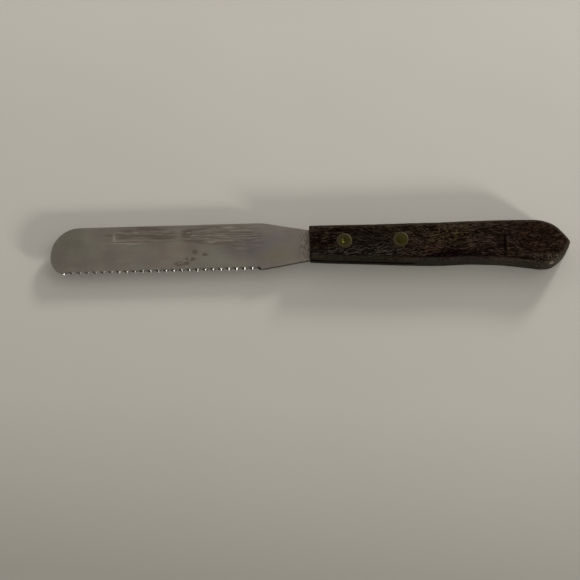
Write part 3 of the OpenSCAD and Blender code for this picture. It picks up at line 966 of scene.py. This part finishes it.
class KNIFE_OT_rivets(bpy.types.Operator):
    """Build both brass rivets, each a pin half above and a sleeve half below"""

    bl_idname = "knife.rivets"
    bl_label = "Rivets"

    def execute(self, context):
        rivets = context.scene.knife_rivets
        head, pin, sleeve = rivets.head / 2, rivets.pin / 2, rivets.sleeve / 2
        bore = pin + rivets.gap / 2
        high, low = TOP - rivets.head_height, rivets.head_height
        deep, wide = rivets.dimple_depth, rivets.dimple / 2
        for rivet, disc, shift, dimpled in RIVETS:
            centre = rivet_centre(rivet)
            middle = (1000 * (centre[0] - FRONT) + shift, -shift / 2)
            brass = brass_material(rivets, rivet.title() + " Rivet Brass", middle, 1000 * disc)

            crown = [(0, DISC_MIDDLE)]
            if dimpled:
                turns = [pi / 2 * i / DIMPLE_STEPS for i in range(DIMPLE_STEPS)]
                crown = [(wide * sin(turn), deep * cos(turn) ** 1.5) for turn in turns]
                crown.append((wide, DIMPLE_EDGE))
            crown += head_profile(rivets, disc, PIN_GROOVE)
            upper = [(radius, TOP - depth) for radius, depth in crown]
            upper += [(head, high), (pin, high), (pin, low + rivets.end_gap), (0, low + rivets.end_gap)]
            piece = to_object(lathe(upper, centre), rivet + "_rivet_pin_brass")
            finish_piece(piece, brass, [rivet + "_rivet_pin"], BRASS_CREASE)

            end = high - rivets.end_gap
            lower = [(0, low), (bore, low), (bore, end), (sleeve, end), (sleeve, low), (head, low)]
            lower += head_profile(rivets, disc, SLEEVE_GROOVE)[::-1] + [(0, DISC_MIDDLE)]
            piece = to_object(lathe(lower, centre), rivet + "_rivet_sleeve_brass")
            finish_piece(piece, brass, [rivet + "_rivet_sleeve"], BRASS_CREASE)
        return {"FINISHED"}


class KNIFE_OT_stage(bpy.types.Operator):
    """Set up the pale table, the soft studio light and the camera"""

    bl_idname = "knife.stage"
    bl_label = "Stage"

    def execute(self, context):
        stage, scene = context.scene.knife_stage, context.scene
        bm = bmesh.new()
        under = Matrix.Translation((0, 0, -TABLE_DROP))
        bmesh.ops.create_circle(bm, cap_ends=True, segments=TABLE_STEPS, radius=TABLE_RADIUS, matrix=under)
        table = to_object(bm, "table_top")
        table.data.materials.append(table_material(stage))

        for name, azimuth, height, size, power, tint in LAMPS:
            azimuth, height = radians(azimuth), radians(height)
            lamp = bpy.data.lights.new(name, "AREA")
            lamp.shape, lamp.size, lamp.energy, lamp.color = "DISK", size, power, tint
            stand = bpy.data.objects.new(name, lamp)
            turn = Vector((cos(height) * cos(azimuth), cos(height) * sin(azimuth), sin(height)))
            stand.location = turn * LAMP_DISTANCE
            stand.rotation_euler = turn.to_track_quat("Z", "Y").to_euler()
            scene.collection.objects.link(stand)

        world = scene.world = bpy.data.worlds.new("Room")
        world.use_nodes = True
        t = Tree(world.node_tree)
        way = t.add("ShaderNodeTexCoord", out="Generated")
        room = t.ramp(t.split(way)[2], *ROOM)

        def towards(aim):
            return t.vector("DOT_PRODUCT", way, aim, out="Value")

        # The room is lighter behind and to the right, dusky at the front left, dim where the steel mirrors it
        halves = t.range(towards((0.1, 1, 0)), -0.35, 0.35, 0.34, 1.66)
        dusk = t.range(towards((-0.80, -0.55, 0.25)), 0.80, 0.97, 1.0, 0.3)
        level = t.times(t.plus(towards((0.3, 0, 0)), 1.0), halves, dusk)
        dim = t.mix(t.range(towards((-0.10, 0.27, 0.958)), 0.82, 0.94), (1, 1, 1), (0.118, 0.109, 0.101))
        sky = t.vector("MULTIPLY", t.vector("MULTIPLY", room, level), dim)
        light = t.mix(t.range(towards((0, 0, 1)), -0.02, -0.12), sky, BELOW)
        t.feed(world.node_tree.nodes["Background"].inputs["Color"], light)

        camera = bpy.data.cameras.new("camera")
        camera.sensor_width = SENSOR
        camera.lens = SENSOR * stage.reach / stage.frame_width
        camera.clip_start, camera.clip_end = 0.01, 20
        eye = bpy.data.objects.new("camera", camera)
        line = Vector((0, -cos(stage.tilt), sin(stage.tilt)))
        eye.location = Vector((stage.aim_x, stage.aim_y, TOP / 2)) + line * stage.reach
        tilt, roll = Matrix.Rotation(pi / 2 - stage.tilt, 4, "X"), Matrix.Rotation(-stage.roll, 4, "Z")
        eye.rotation_euler = (tilt @ roll).to_euler()
        scene.collection.objects.link(eye)
        scene.camera = eye
        scene.view_settings.view_transform = "Standard"
        return {"FINISHED"}


class KNIFE_PT_panel(bpy.types.Panel):
    """The knife's parts, in the order in which they are built"""

    bl_label = "Butter Knife"
    bl_idname = "KNIFE_PT_panel"
    bl_space_type = "VIEW_3D"
    bl_region_type = "UI"
    bl_category = "Knife"

    def draw(self, context):
        for operator, group in zip(BUILDERS, GROUPS):
            box = self.layout.box()
            box.operator(operator.bl_idname)
            settings = getattr(context.scene, group)
            for name in settings.bl_rna.properties.keys():
                if name not in ("rna_type", "name"):
                    box.prop(settings, name)


SETTINGS = (KnifeBladeSettings, KnifeHandleSettings, KnifeRivetSettings, KnifeStageSettings)
BUILDERS = (KNIFE_OT_blade, KNIFE_OT_handle, KNIFE_OT_rivets, KNIFE_OT_stage)
GROUPS = ("knife_blade", "knife_handle", "knife_rivets", "knife_stage")
CLASSES = SETTINGS + BUILDERS + (KNIFE_PT_panel,)


def register():
    for item in CLASSES:
        bpy.utils.register_class(item)
    for group, settings in zip(GROUPS, SETTINGS):
        setattr(bpy.types.Scene, group, PointerProperty(type=settings))


def unregister():
    for group in GROUPS:
        delattr(bpy.types.Scene, group)
    for item in reversed(CLASSES):
        bpy.utils.unregister_class(item)


def main():
    register()
    bpy.ops.knife.blade()
    bpy.ops.knife.handle()
    bpy.ops.knife.rivets()
    bpy.ops.knife.stage()


if __name__ == "__main__":
    main()
